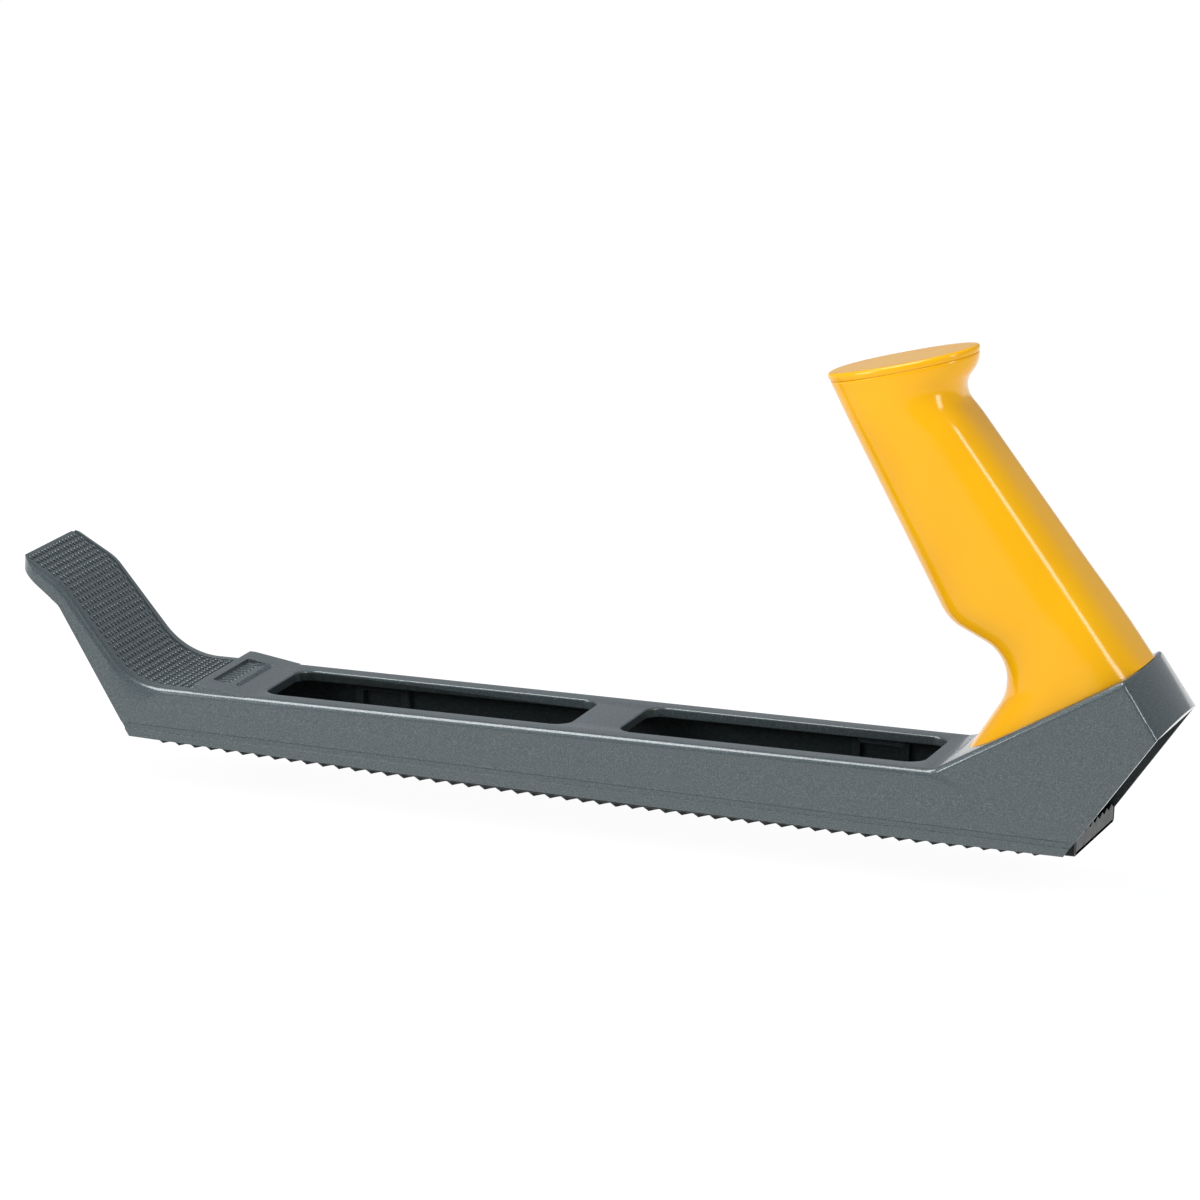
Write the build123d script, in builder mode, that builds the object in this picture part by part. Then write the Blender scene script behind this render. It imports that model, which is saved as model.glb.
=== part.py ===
from build123d import *
import os
from math import cos, radians, sin, sqrt, tan

os.makedirs("parts", exist_ok=True)

# A rasp plane: a die-cast channel body with a perforated steel blade stretched under it, a raised
# thumb rest at the toe (-X) and an upright moulded handle at the heel (+X).
# Millimetres, +Z up. The origin is under the middle of the tool, level with the lowest tooth tips.

# ---- driving dimensions -------------------------------------------------------
half_length = 156.7          # toe tip and heel corner, each side of the origin

blade_length = 254.0         # the standard 10 in blade
blade_width = 41.3           # 1 5/8 in
blade_mid_x = 8.5
blade_sheet = 0.8
tooth_pitch = 4.5
tooth_rows = 55
tooth_depth = 1.1
tooth_front = 1.6            # run of a tooth's steep flank, towards the toe
blade_flange = 3.2           # turned-up long edges, above the sheet
blade_lip = 4.6              # turned-up ends, above the sheet
bow_radius = 5000.0          # blade and rails are bowed downwards in the middle

sole_toe = (-122.1, 3.2)
sole_mid = (blade_mid_x, 2.2)
sole_heel = (133.1, 2.9)
band_half = 22.7             # half width of the plain band round the blade
band_top = 5.1
groove_depth = 0.5
groove_height = 1.7
flank_half = 22.4            # half width of the flank at the top of the groove
flank_draft = 3.07           # degrees

horn_bend = (-144.1, 35.6)   # where the toe's front face turns into the horn's underside
horn_nose = (-half_length, 46.0)
horn_top = (-155.3, 47.4)
horn_brow = (-143.6, 41.0)
horn_foot = (-122.6, 16.75)
horn_corner = 5.5            # rounding of the tip's corners in plan
tip_side = -155.2            # where the tip's shallow curve meets the corners
brow_round = 12.0            # where the horn's top turns over
foot_round = 20.0            # where it turns down into the deck
rest_sink = (-0.15, -0.3)    # how the thumb rest's floor is shifted in from the horn's top
rest_half = 17.6             # half width of the sunk thumb rest
rest_overrun = 12.0          # how far its cut runs out over the tip
plate_front = -105.0         # raised plate between the horn and the first window
plate_back = -90.5
plate_rise = 2.1
plate_panel = (8.6, 27.0)    # sunk panel in the plate, and the height of its floor
plate_floor = 17.9
plate_low = 17.0             # deck height in front of the plate
seat_foot = (96.9, 20.95)    # where the deck turns up into the handle's seat
seat_angle = 31.0
seat_length = 58.5
back_along = 60.1            # the heel corner, measured along and below the seat
back_depth = 16.0
back_crown = 2.6             # how far the crowned back falls away at the flanks
edge_round = 1.8
rim_round = 0.5              # round the windows
heel_round = 1.2             # between the flanks and the crowned back

wall = 2.25
deck_thick = 2.6
seat_thick = 3.2
toe_wall = 2.5
back_wall = 2.8
blade_gap = 0.35             # between the blade's edges and the band
rail_width = 1.6
rail_top = 7.6
rail_front = -112.0
rail_rear = 127.0
bay_front = -118.95
bay_rear = 145.0
lug_front = -117.2           # the lug behind the blade's front lip
lug_length = 4.0
lug_width = 16.0

window_width = 29.6
window_corner = 5.0
windows = ((-88.0, -3.7), (9.9, 92.2))
rib_pairs = ((-73.5, -58.5), (64.5, 80.1))
rib_width = 2.2
rib_face = 18.6              # how far from the middle the ribs stand

web_x = 128.0                # cross wall that carries the tension screw
web_thick = 3.0
web_top = 20.0
screw_z = 14.0
screw_r = 2.5
screw_tip = 99.0
screw_head_r = 4.8
screw_head_high = 4.0
washer_thick = 1.0
clip_thick = 0.7
slide_width = 16.0
slide_back = 134.3
slide_front = 105.0
slide_ear = 6.0
slide_low = 4.3
slide_high = 7.4

bolt_along = 36.3            # handle bolt, measured along the seat
bolt_r = 3.0
bolt_head_at = 70.0          # height of the head's seat above the handle seat
bolt_end = -18.0
peg_alongs = (16.0, 52.0)
peg_r = 2.5
boss_r = 8.0
boss_depth = 9.0

knuckle = (94.2, 56.7)       # handle's front outline, from the cap down
hook_top = (110.7, 49.7)
hook_bottom = (110.7, 39.1)
handle_top_front = (57.6, 117.2)
neck = (92.3, 116.3)
lip_low = (96.9, 123.2)
lip_high = (96.9, 128.45)
handle_foot = 5.5            # the handle's nose, measured along the seat
handle_halves = ((18.6, 20.0), (15.6, 76.0), (13.2, 132.0))   # half width at each height
handle_mid = (76.0, 120.0)   # a point on the handle's raked middle line
handle_rake = 57.0
handle_front_round = 8.0
handle_back_round = 5.5
pocket_depth = 30.0
pocket_behind = 8.5          # from the bolt to the pocket's middle
cap_thick = 2.0
cap_plug_from = 84.0         # the plug's lower end, above the handle seat

bore_r = 6.6                 # deep counterbore that takes the bolt's head


def bow(x):
    """Height of the bowed blade line above its lowest point."""
    return bow_radius - sqrt(bow_radius**2 - (x - blade_mid_x) ** 2)


def on_seat(along, depth=0.0):
    """Side-view point measured along the handle seat from its foot, and below it."""
    tilt = radians(seat_angle)
    x = seat_foot[0] + along * cos(tilt) + depth * sin(tilt)
    z = seat_foot[1] + along * sin(tilt) - depth * cos(tilt)
    return (x, z)


def flank_at(z, inset=0.0):
    """Half width of the drafted flank at a height."""
    return flank_half - inset - (z - band_top - groove_height) * tan(radians(flank_draft))


def is_front(edge):
    """True for an edge on the finger side of the handle's raked middle line."""
    centre = edge.center()
    lean = (handle_mid[1] - centre.Z) / tan(radians(handle_rake))
    return centre.X < handle_mid[0] + lean


def deck_z(x):
    """Height of the deck's upper face between the horn and the seat."""
    rise = (seat_foot[1] - horn_foot[1]) / (seat_foot[0] - horn_foot[0])
    return seat_foot[1] + (x - seat_foot[0]) * rise


seat_tilt = radians(seat_angle)
bolt_foot = on_seat(bolt_along)
bolt_plane = Plane(
    origin=(bolt_foot[0], 0, bolt_foot[1]),
    x_dir=(0, -1, 0),
    z_dir=(-sin(seat_tilt), 0, cos(seat_tilt)),
)
blade_front = blade_mid_x - blade_length / 2
blade_rear = blade_mid_x + blade_length / 2
blade_half = blade_width / 2
sheet_low = tooth_depth
sheet_high = tooth_depth + blade_sheet
body_top = 60.0
rail_inner = blade_half - rail_width + 0.1
seat_end = on_seat(seat_length)
heel_corner = on_seat(back_along, back_depth)
tip_half = 20.6
tip_end = -146.5

# ---- body casting: the outer form ----------------------------------------------
with BuildPart() as body_casting:
    with BuildSketch(Plane.XZ) as side_view:
        with BuildLine():
            ThreePointArc(sole_heel, sole_mid, sole_toe)
            horn_under = (-155.9, 44.3)
            FilletPolyline(sole_toe, horn_bend, horn_under, radius=4.0)
            ThreePointArc(horn_under, horn_nose, horn_top)
            top_line = (horn_top, horn_brow, horn_foot, seat_foot, seat_end)
            FilletPolyline(*top_line, radius=[brow_round, foot_round, 8.0])
            Polyline(seat_end, heel_corner, sole_heel)
        make_face()
    extrude(amount=30, both=True)

    # the flanks lean in above the groove, and the band below it stands upright
    with BuildSketch(Plane.YZ) as cross_section:
        with BuildLine():
            right = [
                (band_half, -1),
                (band_half, band_top),
                (band_half - groove_depth, band_top + 0.2),
                (band_half - groove_depth, band_top + groove_height - 0.2),
                (flank_half, band_top + groove_height),
                (flank_at(body_top), body_top),
            ]
            Polyline(*right, *[(-y, z) for y, z in reversed(right)], close=True)
        make_face()
    extrude(amount=200, both=True, mode=Mode.INTERSECT)

    # the heel's back is crowned from side to side
    back_x = (heel_corner[0] - seat_end[0], heel_corner[1] - seat_end[1])
    back_plane = Plane(
        origin=(seat_end[0], 0, seat_end[1]),
        x_dir=(0, 1, 0),
        z_dir=(back_x[0], 0, back_x[1]),
    )
    with BuildSketch(back_plane):
        with BuildLine():
            ThreePointArc((-21, -back_crown), (0, 0), (21, -back_crown))
            Polyline((21, -back_crown), (60, -30), (60, -400), (-60, -400), (-60, -30), (-21, -back_crown))
        make_face()
    extrude(amount=400, both=True, mode=Mode.INTERSECT)

    # the horn's tip is a shallow curve in plan with rounded corners
    with BuildSketch(Plane.XY) as plan:
        with BuildLine():
            ThreePointArc((tip_side, -tip_half), (-half_length, 0), (tip_side, tip_half))
            Polyline((tip_side, tip_half), (tip_end, tip_half), (tip_end, 40), (200, 40))
            Polyline((200, 40), (200, -40), (tip_end, -40), (tip_end, -tip_half), (tip_side, -tip_half))
        make_face()
        fillet(plan.vertices().group_by(Axis.X)[0], horn_corner)
    extrude(amount=100, both=True, mode=Mode.INTERSECT)

    # every long upper edge, from the horn's tip to the back of the seat, is rounded
    upper_faces = [
        face
        for face in body_casting.faces()
        if face.center().Z > 14 and face.normal_at(face.center()).Z > 0.63
    ]
    upper_edges = [
        edge
        for face in upper_faces
        for edge in face.edges()
        if abs(edge.center().Y) > 18 and abs(edge.tangent_at(0.5).Y) < 0.4
    ]
    fillet(upper_edges, edge_round)
    heel_edges = [
        edge
        for edge in body_casting.edges()
        if edge.center().X > seat_end[0] and abs(edge.center().Y) > 18 and edge.length > 10
    ]
    fillet(heel_edges, heel_round)

    # the thumb rest is sunk a little into the horn's top, inside a plain rim
    with BuildSketch(Plane.XZ):
        with BuildLine():
            rest_line = [
                (spot[0] + rest_sink[0], spot[1] + rest_sink[1])
                for spot in (horn_top, horn_brow, horn_foot, (plate_front, plate_low))
            ]
            rest_slope = (horn_top[1] - horn_brow[1]) / (horn_brow[0] - horn_top[0])
            rest_tip = (rest_line[0][0] - rest_overrun, rest_line[0][1] + rest_overrun * rest_slope)
            rest_line[0] = rest_tip
            FilletPolyline(*rest_line, radius=[brow_round, foot_round])
            Polyline(rest_line[-1], (plate_front, 80), (rest_tip[0], 80), rest_tip)
        make_face()
    extrude(amount=rest_half, both=True, mode=Mode.SUBTRACT)

    # the raised plate stands between the horn and the first window
    with BuildSketch(Plane.XZ):
        with BuildLine():
            Polyline(
                (plate_front - 0.6, plate_low - 1.0),
                (plate_front, plate_low + plate_rise),
                (plate_front + 1.6, plate_low + plate_rise),
                (plate_back, deck_z(plate_back)),
                (plate_back, plate_low - 1.0),
                close=True,
            )
        make_face()
    extrude(amount=flank_at(18.5, 0.6), both=True)
    with BuildSketch(Plane.XY.offset(30)):
        with Locations(((plate_front + plate_back) / 2 - 0.6, 0)):
            RectangleRounded(*plate_panel, 1.2)
    extrude(amount=plate_floor - 30, mode=Mode.SUBTRACT)

    # the hollow inside: open below for the blade, and at the heel
    with BuildSketch(Plane.XZ) as cavity_view:
        with BuildLine():
            Polyline(
                (sole_toe[0] + toe_wall / cos(radians(34)), -5),
                (sole_toe[0] + toe_wall / cos(radians(34)), sole_toe[1]),
                (-126.6, 14.4),
                (-118.0, 13.3),
                (-106.0, 13.5),
                (plate_back, 17.3 - deck_thick),
                on_seat(0.8, seat_thick),
                on_seat(seat_length - back_wall, seat_thick),
                on_seat(back_along - back_wall + 1.5, 32.0),
                (190, -5),
                close=True,
            )
        make_face()
    cavity = extrude(amount=30, both=True, mode=Mode.PRIVATE)
    with BuildSketch(Plane.YZ):
        with BuildLine():
            Polyline(
                (flank_at(-6, wall), -6),
                (flank_at(body_top, wall), body_top),
                (-flank_at(body_top, wall), body_top),
                (-flank_at(-6, wall), -6),
                close=True,
            )
        make_face()
    cavity_section = extrude(amount=250, both=True, mode=Mode.PRIVATE)
    add(cavity & cavity_section, mode=Mode.SUBTRACT)

    # the blade's bay: a wider slot below the rails, with a bowed ceiling
    with BuildSketch(Plane.XZ):
        with BuildLine():
            bay_rise = sheet_high + blade_flange + 0.1
            ThreePointArc(
                (bay_front, bay_rise + bow(bay_front)),
                (blade_mid_x, bay_rise),
                (bay_rear, bay_rise + bow(bay_rear)),
            )
            Polyline(
                (bay_rear, bay_rise + bow(bay_rear)),
                (bay_rear, -5),
                (bay_front, -5),
                (bay_front, bay_rise + bow(bay_front)),
            )
        make_face()
    extrude(amount=blade_half + blade_gap, both=True, mode=Mode.SUBTRACT)

    # a rail along each wall, which the blade's turned-up edges bear on
    for side in (-1, 1):
        with BuildSketch(Plane.XZ.offset(-side * (rail_inner + rail_width / 2))):
            with BuildLine():
                ThreePointArc(
                    (rail_front, bay_rise + bow(rail_front)),
                    (blade_mid_x, bay_rise),
                    (rail_rear, bay_rise + bow(rail_rear)),
                )
                Polyline(
                    (rail_rear, bay_rise + bow(rail_rear)),
                    (rail_rear, rail_top),
                    (rail_front, rail_top),
                    (rail_front, bay_rise + bow(rail_front)),
                )
            make_face()
        extrude(amount=rail_width / 2, both=True)

    # chip windows through the deck
    with BuildSketch(Plane.XY.offset(30)):
        for start, end in windows:
            with Locations(((start + end) / 2, 0)):
                RectangleRounded(end - start, window_width, window_corner)
    extrude(amount=-20, mode=Mode.SUBTRACT)

    rims = [
        edge
        for edge in body_casting.edges()
        if abs(edge.center().Y) < window_width / 2 + 0.1
        and windows[0][0] - 0.1 < edge.center().X < windows[1][1] + 0.1
        and abs(edge.center().Z - deck_z(edge.center().X)) < 0.1
    ]
    fillet(rims, rim_round)

    # inverted-U stiffening ribs on the inside of both walls
    for start, end in rib_pairs:
        rib_top = deck_z((start + end) / 2) - deck_thick
        for side in (-1, 1):
            with BuildSketch(Plane.XZ.offset(-side * (rib_face + 1.0))):
                with BuildLine():
                    Polyline(
                        (start, rail_top - 0.5),
                        (start, rib_top + 0.8),
                        (end, rib_top + 0.8),
                        (end, rail_top - 0.5),
                        (end - rib_width, rail_top - 0.5),
                        (end - rib_width, rib_top - rib_width),
                        (start + rib_width, rib_top - rib_width),
                        (start + rib_width, rail_top - 0.5),
                        close=True,
                    )
                make_face()
            extrude(amount=1.0, both=True)

    # the toe lug that holds the blade's front lip, and the cross wall for the tension screw
    with BuildSketch(Plane.XZ):
        with Locations((lug_front + lug_length / 2, 9.5)):
            Rectangle(lug_length, 11.0)
    extrude(amount=lug_width / 2, both=True)
    with BuildSketch(Plane.YZ.offset(web_x)):
        with BuildLine():
            Polyline(
                (-rail_inner, slide_low - 0.2),
                (-rail_inner, rail_top - 0.4),
                (-flank_at(4, 1.0), rail_top - 0.4),
                (-flank_at(4, 1.0), web_top),
                (flank_at(4, 1.0), web_top),
                (flank_at(4, 1.0), rail_top - 0.4),
                (rail_inner, rail_top - 0.4),
                (rail_inner, slide_low - 0.2),
                (slide_width / 2 + 0.3, slide_low - 0.2),
                (slide_width / 2 + 0.3, slide_high + 0.3),
                (-slide_width / 2 - 0.3, slide_high + 0.3),
                (-slide_width / 2 - 0.3, slide_low - 0.2),
                close=True,
            )
        make_face()
    extrude(amount=web_thick)
    with BuildSketch(Plane.YZ.offset(web_x)):
        with Locations((0, screw_z)):
            Circle(screw_r + 0.25)
    extrude(amount=web_thick, mode=Mode.SUBTRACT)

    # boss under the seat, with the bolt's hole and the two peg holes
    with BuildSketch(bolt_plane.offset(-boss_depth)):
        Circle(boss_r)
    extrude(amount=boss_depth - 1.0)
    with BuildSketch(bolt_plane):
        Circle(bolt_r + 0.3)
    extrude(amount=-boss_depth, both=True, mode=Mode.SUBTRACT)
    for along in peg_alongs:
        with BuildSketch(bolt_plane):
            with Locations((0, along - bolt_along)):
                Circle(peg_r + 0.15)
        extrude(amount=-seat_thick - 1.0, both=True, mode=Mode.SUBTRACT)

body_casting.part.label = "body_casting"
export_step(body_casting.part, "parts/body_casting.step")

# ---- blade: a bowed channel of perforated sheet, teeth down -------------------------
first_tooth = blade_mid_x - tooth_pitch * (tooth_rows - 1) / 2
with BuildPart() as blade:
    with BuildSketch(Plane.XZ):
        with BuildLine():
            teeth = [(blade_front, sheet_low + bow(blade_front))]
            for row in range(tooth_rows):
                tip_x = first_tooth + row * tooth_pitch
                root_x = tip_x - tooth_front
                teeth.append((root_x, sheet_low + bow(root_x)))
                teeth.append((tip_x, bow(tip_x)))
            last_root = first_tooth + tooth_rows * tooth_pitch - tooth_front
            teeth.append((last_root, sheet_low + bow(last_root)))
            teeth.append((blade_rear, sheet_low + bow(blade_rear)))
            Polyline(*teeth, (blade_rear, sheet_high + bow(blade_rear)))
            ThreePointArc(
                (blade_rear, sheet_high + bow(blade_rear)),
                (blade_mid_x, sheet_high),
                (blade_front, sheet_high + bow(blade_front)),
            )
            Line((blade_front, sheet_high + bow(blade_front)), teeth[0])
        make_face()
    extrude(amount=blade_half, both=True)
    for side in (-1, 1):
        with BuildSketch(Plane.XZ.offset(-side * (blade_half - blade_sheet / 2))):
            with BuildLine():
                flange_low = sheet_low + 0.2
                flange_high = sheet_high + blade_flange
                ThreePointArc(
                    (blade_front, flange_high + bow(blade_front)),
                    (blade_mid_x, flange_high),
                    (blade_rear, flange_high + bow(blade_rear)),
                )
                Line(
                    (blade_rear, flange_high + bow(blade_rear)),
                    (blade_rear, flange_low + bow(blade_rear)),
                )
                ThreePointArc(
                    (blade_rear, flange_low + bow(blade_rear)),
                    (blade_mid_x, flange_low),
                    (blade_front, flange_low + bow(blade_front)),
                )
                Line(
                    (blade_front, flange_low + bow(blade_front)),
                    (blade_front, flange_high + bow(blade_front)),
                )
            make_face()
        extrude(amount=blade_sheet / 2, both=True)
    with BuildSketch(Plane.XZ):
        lip_middle = sheet_low + bow(blade_rear) + (blade_sheet + blade_lip) / 2
        lip_inset = blade_sheet / 2
        with Locations((blade_front + lip_inset, lip_middle), (blade_rear - lip_inset, lip_middle)):
            Rectangle(blade_sheet, blade_sheet + blade_lip)
    extrude(amount=blade_half - 1.5, both=True)

blade.part.label = "blade"
export_step(blade.part, "parts/blade.step")

# ---- tension slide: pushes the blade's rear lip back when the screw draws it ----------
with BuildPart() as tension_slide:
    with BuildSketch(Plane.XZ):
        with BuildLine():
            Polyline(
                (slide_front, slide_low),
                (slide_back, slide_low),
                (slide_back, slide_high),
                (slide_front + slide_ear + 5, slide_high),
                (slide_front + slide_ear, slide_high + 5),
                (slide_front + slide_ear, screw_z + 5.5),
                (slide_front, screw_z + 5.5),
                close=True,
            )
        make_face()
    extrude(amount=slide_width / 2, both=True)
    with BuildSketch(Plane.YZ.offset(slide_front)):
        with Locations((0, screw_z)):
            Circle(screw_r + 0.05)
    extrude(amount=slide_ear + 6, mode=Mode.SUBTRACT)
    ear_top = tension_slide.edges().filter_by(Axis.X).sort_by(Axis.Z)[-2:]
    fillet(ear_top, 3.0)

tension_slide.part.label = "tension_slide"
export_step(tension_slide.part, "parts/tension_slide.step")

# ---- tension screw, its washer and the clip that keeps it in the cross wall ---------------
washer_x = web_x + web_thick + 0.05
head_x = washer_x + washer_thick + 0.05
clip_x = web_x - 0.3 - clip_thick
with BuildPart() as tension_screw:
    with BuildSketch(Plane.XZ):
        with BuildLine():
            groove_r = screw_r - 0.5
            Polyline(
                (screw_tip, screw_z),
                (screw_tip, screw_z + screw_r - 0.6),
                (screw_tip + 0.6, screw_z + screw_r),
                (clip_x - 0.05, screw_z + screw_r),
                (clip_x - 0.05, screw_z + groove_r),
                (clip_x + clip_thick + 0.05, screw_z + groove_r),
                (clip_x + clip_thick + 0.05, screw_z + screw_r),
                (head_x, screw_z + screw_r),
                (head_x, screw_z + screw_head_r),
                (head_x + screw_head_high - 0.8, screw_z + screw_head_r),
                (head_x + screw_head_high, screw_z + screw_head_r - 0.8),
                (head_x + screw_head_high, screw_z),
                close=True,
            )
        make_face()
    revolve(axis=Axis((0, 0, screw_z), (1, 0, 0)))
    with BuildSketch(Plane.YZ.offset(head_x + screw_head_high)):
        with Locations((0, screw_z)):
            Rectangle(1.2, 2.2 * screw_head_r)
    extrude(amount=-1.6, mode=Mode.SUBTRACT)

tension_screw.part.label = "tension_screw"
export_step(tension_screw.part, "parts/tension_screw.step")

with BuildPart() as tension_washer:
    with BuildSketch(Plane.YZ.offset(washer_x)):
        with Locations((0, screw_z)):
            Circle(screw_head_r + 0.7)
            Circle(screw_r + 0.25, mode=Mode.SUBTRACT)
    extrude(amount=washer_thick)

tension_washer.part.label = "tension_washer"
export_step(tension_washer.part, "parts/tension_washer.step")

with BuildPart() as screw_clip:
    with BuildSketch(Plane.YZ.offset(clip_x)):
        with Locations((0, screw_z)):
            Circle(screw_r + 2.0)
            Circle(screw_r - 0.45, mode=Mode.SUBTRACT)
        with Locations((0, screw_z + screw_r + 1.0)):
            Rectangle(2.6, 2.0 * screw_r, mode=Mode.SUBTRACT)
    extrude(amount=clip_thick)

screw_clip.part.label = "screw_clip"
export_step(screw_clip.part, "parts/screw_clip.step")

# ---- handle: a raked pistol form, cut below its top for the cap -----------------------------
with BuildPart() as handle_form:
    with BuildSketch(Plane.XZ):
        with BuildLine():
            handle_nose = on_seat(handle_foot)
            handle_heel = on_seat(seat_length - 0.3)
            FilletPolyline(
                handle_top_front, knuckle, hook_top, hook_bottom, handle_nose, radius=[12.0, 10.5, 10.5]
            )
            Line(handle_nose, handle_heel)
            FilletPolyline(handle_heel, neck, lip_low, lip_high, radius=[6.5, 8.0])
            Line(lip_high, handle_top_front)
        make_face()
    extrude(amount=30, both=True)
    with BuildSketch(Plane.YZ):
        with BuildLine():
            low, middle, high = handle_halves
            ThreePointArc(low, middle, high)
            Line(high, (-high[0], high[1]))
            ThreePointArc((-high[0], high[1]), (-middle[0], middle[1]), (-low[0], low[1]))
            Line((-low[0], low[1]), low)
        make_face()
    extrude(amount=200, both=True, mode=Mode.INTERSECT)

    # the front edges are rounded for the fingers and the back edges more tightly
    side_edges = [
        edge
        for edge in handle_form.edges()
        if abs(edge.center().Y) > 11 and abs(edge.tangent_at(0.5).Y) < 0.5
    ]
    end_faces = [
        face
        for face in handle_form.faces()
        if abs(face.normal_at(face.center()).Z) > 0.84 and not 45 < face.center().Z < 60
    ]
    rim_centres = [edge.center() for face in end_faces for edge in face.edges()]
    long_edges = [
        edge
        for edge in side_edges
        if min((edge.center() - centre).length for centre in rim_centres) > 0.01
    ]
    back_spots = [edge.center() for edge in long_edges if not is_front(edge)]
    fillet([edge for edge in long_edges if is_front(edge)], handle_front_round)
    back_edges = [
        edge
        for edge in handle_form.edges()
        if min((edge.center() - spot).length for spot in back_spots) < 0.01
    ]
    fillet(back_edges, handle_back_round)

top_middle = ((handle_top_front[0] + lip_high[0]) / 2, (handle_top_front[1] + lip_high[1]) / 2)
top_plane = Plane(
    origin=(top_middle[0], 0, top_middle[1]),
    x_dir=(0, 1, 0),
    z_dir=(handle_top_front[1] - lip_high[1], 0, lip_high[0] - handle_top_front[0]),
)
with BuildPart() as handle:
    add(handle_form.part)
    split(bisect_by=top_plane.offset(-cap_thick), keep=Keep.BOTTOM)
    # the bolt's hole, and the deep counterbore that its head goes down
    with BuildSketch(bolt_plane):
        Circle(bolt_r + 0.3)
    extrude(amount=200, mode=Mode.SUBTRACT)
    with BuildSketch(bolt_plane.offset(bolt_head_at)):
        Circle(bore_r)
    extrude(amount=200, mode=Mode.SUBTRACT)
    # a cored pocket behind the bolt keeps the moulding's walls even
    with BuildSketch(bolt_plane):
        with Locations((0, pocket_behind)):
            RectangleRounded(22.0, 8.0, 3.0)
    extrude(amount=pocket_depth, taper=1.5, mode=Mode.SUBTRACT)
    # two moulded pegs stop the handle turning on its seat
    with BuildSketch(bolt_plane.offset(2.0)):
        for along in peg_alongs:
            with Locations((0, along - bolt_along)):
                Circle(peg_r)
    extrude(amount=-2.0 - seat_thick + 0.2)

handle.part.label = "handle"
export_step(handle.part, "parts/handle.step")

# ---- cap: an oval lid with a short plug, flush with the handle's rim -------------------------
with BuildPart() as handle_cap:
    add(handle_form.part)
    split(bisect_by=top_plane.offset(-cap_thick), keep=Keep.TOP)
    with BuildSketch(bolt_plane.offset(cap_plug_from)):
        Circle(bore_r - 0.15)
    extrude(amount=20)
    add(handle_form.part, mode=Mode.INTERSECT)

handle_cap.part.label = "handle_cap"
export_step(handle_cap.part, "parts/handle_cap.step")

# ---- handle bolt, its washers and its nut ---------------------------------------------------
with BuildPart() as bolt_washer:
    with BuildSketch(bolt_plane.offset(bolt_head_at + 0.02)):
        Circle(6.0)
        Circle(bolt_r + 0.2, mode=Mode.SUBTRACT)
    extrude(amount=1.6)

bolt_washer.part.label = "bolt_washer"
export_step(bolt_washer.part, "parts/bolt_washer.step")

with BuildPart() as handle_bolt:
    with BuildSketch(bolt_plane.offset(bolt_end)):
        Circle(bolt_r)
    extrude(amount=bolt_head_at + 1.64 - bolt_end)
    chamfer(handle_bolt.edges().sort_by(Axis.Z)[0], 0.5)
    with BuildSketch(bolt_plane.offset(bolt_head_at + 1.64)):
        Circle(5.0)
    extrude(amount=6.0)
    with BuildSketch(bolt_plane.offset(bolt_head_at + 7.64)):
        RegularPolygon(radius=2.5, side_count=6, major_radius=False)
    extrude(amount=-3.5, mode=Mode.SUBTRACT)

handle_bolt.part.label = "handle_bolt"
export_step(handle_bolt.part, "parts/handle_bolt.step")

with BuildPart() as lock_washer:
    with BuildSketch(bolt_plane.offset(-boss_depth - 0.02)):
        Circle(5.5)
        Circle(bolt_r + 0.2, mode=Mode.SUBTRACT)
        with Locations((4.5, 0)):
            Rectangle(4.0, 0.8, mode=Mode.SUBTRACT)
    extrude(amount=-1.6)

lock_washer.part.label = "lock_washer"
export_step(lock_washer.part, "parts/lock_washer.step")

with BuildPart() as handle_nut:
    with BuildSketch(bolt_plane.offset(-boss_depth - 1.64)):
        RegularPolygon(radius=5.0, side_count=6, major_radius=False)
        Circle(bolt_r + 0.02, mode=Mode.SUBTRACT)
    extrude(amount=-5.0)

handle_nut.part.label = "handle_nut"
export_step(handle_nut.part, "parts/handle_nut.step")
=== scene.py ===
import math

import bmesh
import bpy
from mathutils import Matrix, Vector
from mathutils.bvhtree import BVHTree


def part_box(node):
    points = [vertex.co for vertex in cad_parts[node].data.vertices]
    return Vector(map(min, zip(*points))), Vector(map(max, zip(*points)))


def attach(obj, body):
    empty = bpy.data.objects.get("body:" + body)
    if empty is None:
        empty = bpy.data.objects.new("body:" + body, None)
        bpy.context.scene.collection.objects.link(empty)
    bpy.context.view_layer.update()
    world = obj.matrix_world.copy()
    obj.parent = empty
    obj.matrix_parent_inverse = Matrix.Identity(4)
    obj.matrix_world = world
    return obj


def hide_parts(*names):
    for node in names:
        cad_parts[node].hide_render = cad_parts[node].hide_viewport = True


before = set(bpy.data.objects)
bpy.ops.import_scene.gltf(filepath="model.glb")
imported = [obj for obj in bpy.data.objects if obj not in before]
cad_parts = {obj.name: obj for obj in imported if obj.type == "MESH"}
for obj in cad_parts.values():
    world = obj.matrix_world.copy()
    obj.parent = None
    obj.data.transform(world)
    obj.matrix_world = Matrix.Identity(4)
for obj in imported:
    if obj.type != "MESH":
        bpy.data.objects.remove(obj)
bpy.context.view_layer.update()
scene = bpy.context.scene

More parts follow.
